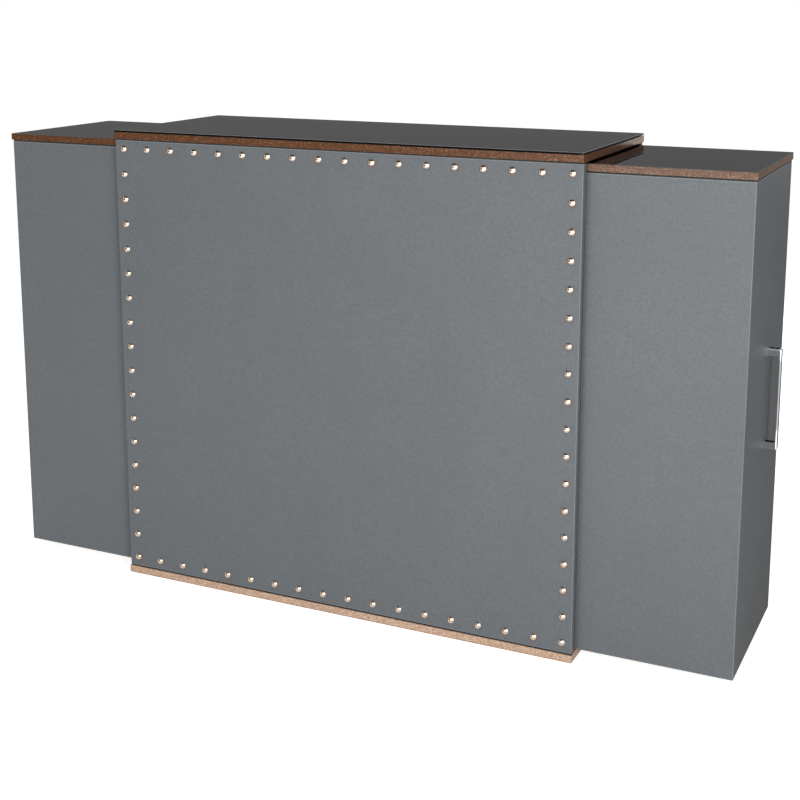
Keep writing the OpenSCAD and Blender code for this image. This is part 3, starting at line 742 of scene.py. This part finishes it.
def dress_cad():
    """Materials and softened edges for the CAD nodes that stay in view: (material, arris in millimetres).
    The right wing's top takes a lighter copy of the board, whose paleness is a painted sheen, and the left
    wing's top the darker board."""
    looks = {
        "base_board": (BOUNCE_LIT_TAN, 0.6), "top_board": (BROWN, 0.6), "front_panel_core": (RAW, 0.0),
        "centre_partition": (RAW, 0.5), "lower_rear_rail": (SHADE_BLACK_BOARD, 0.6),
        "upper_rear_rail": (SHADE_BLACK_BOARD, 0.6), "base_runners": (NYLON, 0.4), "outer_stops": (NYLON, 0.4),
        "partition_bumpers": (RUBBER, 0.0), "top_screws": (ZINC, 0.0), "base_screws": (ZINC, 0.0),
        "partition_screws": (ZINC, 0.0),
    }
    wing_looks = {
        "top": (SHEEN_LIT_WING_BROWN, 0.6), "front": (RAW, 0.5), "end": (RAW, 0.5), "inner_panel": (RAW, 0.5),
        "bottom": (RAW, 0.5), "lower_shelf": (RAW, 0.8), "upper_shelf": (RAW, 0.8), "shelf_pins": (ZINC, 0.0),
        "dowels": (BEECH, 0.0), "screws": (ZINC, 0.0), "glides": (NYLON, 0.4), "stop": (NYLON, 0.4),
        "handle_screws": (ZINC, 0.0),
    }
    for side in ("right_wing_", "left_wing_"):
        looks.update({side + name: look for name, look in wing_looks.items()})
    looks["left_wing_top"] = (BROWN, 0.6)
    for name, (material, arris) in looks.items():
        node = NODES[name]
        for slot in node.material_slots:
            slot.material = material
        if arris:
            weld = node.modifiers.new("weld", "WELD")
            weld.merge_threshold = WELD_REACH * MM
            bevel = node.modifiers.new("arris", "BEVEL")
            bevel.width = arris * MM
            bevel.segments = 2
            bevel.limit_method = "ANGLE"
            bevel.angle_limit = math.radians(ARRIS_ANGLE)
            bevel.harden_normals = True


# Studio

def studio_material(name):
    material = bpy.data.materials.new(name)
    material.use_nodes = True
    material.node_tree.nodes.clear()
    return material, material.node_tree


def seen_directly(tree):
    """1 for camera, glossy and transmission rays, so that metal and glass show what the camera sees."""
    path = tree.nodes.new("ShaderNodeLightPath")
    total = path.outputs["Is Camera Ray"]
    for name in ("Is Glossy Ray", "Is Transmission Ray"):
        add = tree.nodes.new("ShaderNodeMath")
        add.operation = "MAXIMUM"
        tree.links.new(total, add.inputs[0])
        tree.links.new(path.outputs[name], add.inputs[1])
        total = add.outputs[0]
    return total


# The floor lies a hair under the cabinet. Its albedo takes the shadow, the lift is its own glow, and the
# ambient light is the white world's share in the light on the object.
FLOOR_REACH = 60000.0
FLOOR_DROP = 0.2
FLOOR_ALBEDO = 0.74
FLOOR_LIFT = 0.80
AMBIENT = 0.30


def square(reach):
    return [(-reach, -reach), (reach, -reach), (reach, reach), (-reach, reach)]


def make_floor():
    """A wide pale floor: its own colour keeps the shadow, and the lift makes it white away from that."""
    material, tree = studio_material("pale_floor")
    diffuse = tree.nodes.new("ShaderNodeBsdfDiffuse")
    diffuse.inputs["Color"].default_value = (FLOOR_ALBEDO,) * 3 + (1.0,)
    glow = tree.nodes.new("ShaderNodeEmission")
    lift = tree.nodes.new("ShaderNodeMath")
    lift.operation = "MULTIPLY"
    lift.inputs[1].default_value = FLOOR_LIFT
    tree.links.new(seen_directly(tree), lift.inputs[0])
    tree.links.new(lift.outputs[0], glow.inputs["Strength"])
    both = tree.nodes.new("ShaderNodeAddShader")
    tree.links.new(diffuse.outputs[0], both.inputs[0])
    tree.links.new(glow.outputs[0], both.inputs[1])
    out = tree.nodes.new("ShaderNodeOutputMaterial")
    tree.links.new(both.outputs[0], out.inputs["Surface"])
    verts = [(x, y, -FLOOR_DROP) for x, y in square(FLOOR_REACH)]
    add_mesh("floor", verts, [(0, 1, 2, 3)], material)


def make_world():
    world = bpy.data.worlds.new("studio")
    world.use_nodes = True
    tree = world.node_tree
    back = tree.nodes["Background"]
    back.inputs["Color"].default_value = (1.0, 1.0, 1.0, 1.0)
    level = tree.nodes.new("ShaderNodeMapRange")
    level.inputs["To Min"].default_value = AMBIENT
    level.inputs["To Max"].default_value = 1.0
    tree.links.new(seen_directly(tree), level.inputs["Value"])
    tree.links.new(level.outputs["Result"], back.inputs["Strength"])
    bpy.context.scene.world = world


# Places of the studio's room and soft box, in millimetres like the cards below
ROOM_REACH = 4500.0
WALL_SIDES = 48
WALL_LOW = 1000.0
WALL_HIGH = 1780.0
CEILING_H = 4200.0
SOFT_BOX_PLAN = [(-350, -3130), (1130, -3120), (2400, -2330), (3050, -720)]


def reflection_card(name, verts, faces, strength, tint=(1.0, 1.0, 1.0), one_sided=False):
    """A studio card that only gloss sees: a grey one darkens a reflection, and a bright one is a soft box.
    It is black behind a diffuse bounce, so it throws no light on the object by way of the chrome.
    A one-sided card lets what comes from behind it pass."""
    material, tree = studio_material(name)
    glow = tree.nodes.new("ShaderNodeEmission")
    glow.inputs["Color"].default_value = (*tint, 1.0)
    path = tree.nodes.new("ShaderNodeLightPath")
    level = tree.nodes.new("ShaderNodeMapRange")
    level.inputs["To Min"].default_value = strength
    level.inputs["To Max"].default_value = 0.0
    tree.links.new(path.outputs["Diffuse Depth"], level.inputs["Value"])
    tree.links.new(level.outputs["Result"], glow.inputs["Strength"])
    out = tree.nodes.new("ShaderNodeOutputMaterial")
    tree.links.new(glow.outputs[0], out.inputs["Surface"])
    if one_sided:
        clear = tree.nodes.new("ShaderNodeBsdfTransparent")
        side = tree.nodes.new("ShaderNodeNewGeometry")
        either = tree.nodes.new("ShaderNodeMixShader")
        tree.links.new(side.outputs["Backfacing"], either.inputs["Fac"])
        tree.links.new(glow.outputs[0], either.inputs[1])
        tree.links.new(clear.outputs[0], either.inputs[2])
        tree.links.new(either.outputs[0], out.inputs["Surface"])
    card = add_mesh(name, verts, faces, material)
    for kind in ("camera", "diffuse", "transmission", "volume_scatter", "shadow"):
        setattr(card, "visible_" + kind, False)


def upright_card(name, start, end, low, high, strength, **look):
    """A card that stands on the line from start to end in the plan, from the height low up to high."""
    verts = [(*start, low), (*end, low), (*end, high), (*start, high)]
    reflection_card(name, verts, [(0, 1, 2, 3)], strength, **look)


def level_card(name, plan, height, strength, **look):
    """A card that lies level over an outline in the plan."""
    reflection_card(name, [(x, y, height) for x, y in plan], [tuple(range(len(plan)))], strength, **look)


def make_room():
    """Grey walls with a dark ceiling, which the black tops and the end faces mirror."""
    n = WALL_SIDES
    ring = [(ROOM_REACH * math.cos(2 * math.pi * i / n), ROOM_REACH * math.sin(2 * math.pi * i / n))
            for i in range(n)]
    verts = [(x, y, z) for z in (WALL_LOW, WALL_HIGH) for x, y in ring]
    faces = [(i, (i + 1) % n, n + (i + 1) % n, n + i) for i in range(n)]
    reflection_card("grey_walls", verts, faces, 0.155)
    level_card("dark_ceiling", square(ROOM_REACH), CEILING_H, 0.10)


def make_rear_cards():
    """What the end faces and the boards' ends mirror, behind the cabinet and on the floor beside it."""
    upright_card("rear_flag", (826, 1200), (3000, 1200), 0, 1200, 0.08)
    upright_card("board_edge_card", (560, 1195), (825, 1195), 790, 975, 3.2, tint=(1.0, 0.88, 0.77))
    upright_card("wing_edge_card", (1020, 1190), (1250, 1190), 850, 1000, 0.65)
    upright_card("right_flag", (1300, 4000), (4200, 4000), 900, 3000, 0.08)
    level_card("floor_flag", [(890, -150), (3000, -150), (3000, 1200), (890, 1200)], 1, 0.12,
               tint=(1.2, 1.0, 0.8))
    level_card("base_floor_flag", [(557, -215), (889, -215), (889, 1200), (557, 1200)], 1, 0.45)
    level_card("side_floor_flag", [(1750, -700), (3700, -700), (3700, 1200), (3000, 1200), (3000, -150),
                                   (1750, -150)], 1, 0.12)


def make_handle_cards():
    """What the right handle's arms and bar mirror, with a black line over each arm."""
    upright_card("handle_flag", (887, -250), (1020, -250), 300, 670, 0.68)
    upright_card("bar_flag", (1021, -250), (1150, -250), 385, 552, 0.8)
    for low in (459.5, 658.5):
        upright_card(f"arm_flag_{low:.0f}", (884.4, 31), (884.4, 178), low, low + 47, 0.02, one_sided=True)


def make_front_cards():
    """What the fronts and the nail heads mirror: flags, a soft box round the camera, and the floor."""
    upright_card("left_flag", (-3300, -1900), (-400, -3250), 0, 1500, 0.10)
    upright_card("camera_flag", (870, -3010), (1850, -2560), 700, 1950, 0.35)
    verts = [(x, y, z) for z in (20, 3600) for x, y in SOFT_BOX_PLAN]
    n = len(SOFT_BOX_PLAN)
    reflection_card("soft_box", verts, [(i, i + 1, n + i + 1, n + i) for i in range(n - 1)], 3.0)
    level_card("bright_floor", SOFT_BOX_PLAN[:3] + [(1700, -1000), (-250, -1050)], 2, 2.4)
    level_card("near_floor", [(-900, -1050), (1700, -1000), (1300, -230), (-900, -230)], 3, 0.95)


def make_top_card():
    """A card over the front edges, which keeps the black tops dark for a camera behind the cabinet."""
    outline = [(-1400, 1047), (-560, 1047), (-560, 1068.5), (560, 1068.5), (560, 1047), (1400, 1047),
               (1400, 1500), (-1400, 1500)]
    verts = [(x, -221.5, z) for x, z in outline]
    reflection_card("top_front_flag", verts, [tuple(range(len(outline)))], 0.25)


def area_light(name, place_at, aim, size, watts):
    data = bpy.data.lights.new(name, "AREA")
    data.shape = "RECTANGLE"
    data.size, data.size_y = size
    data.energy = watts
    lamp = bpy.data.objects.new(name, data)
    lamp.location = place_at
    lamp.rotation_euler = (Vector(aim) - Vector(place_at)).to_track_quat("-Z", "Y").to_euler()
    lamp.visible_camera = False
    lamp.visible_glossy = False
    bpy.context.scene.collection.objects.link(lamp)


def make_lights():
    """Place and aim in metres, size in metres and power in watts."""
    area_light("key", (3.25, -3.35, 1.3), (0.1, -0.2, 0.55), (1.5, 1.5), 102.0)
    area_light("front", (-0.6, -4.0, 1.15), (0.0, -0.2, 0.55), (2.0, 1.6), 45.0)
    area_light("top", (0.0, -0.6, 3.6), (0.0, 0.0, 0.6), (3.0, 2.4), 22.0)
    area_light("rear", (0.0, 3.4, 1.4), (0.0, 0.0, 0.55), (1.4, 1.4), 36.0)


make_camera()
bpy.context.scene.view_settings.view_transform = "Standard"
front_panel_skin(GREY)
seam_shade_strips(RUBBER)
gap_shade_lips(RUBBER)
domed_nails(COPPER)
glass_pane(GLASS)
for wing_side in ("right", "left"):
    wing_skin(wing_side, GREY)
    laminate_sheet(wing_side, LAMINATE)
    chrome_handle(wing_side, CHROME)
dress_cad()
make_floor()
make_world()
make_room()
make_rear_cards()
make_handle_cards()
make_front_cards()
make_top_card()
make_lights()
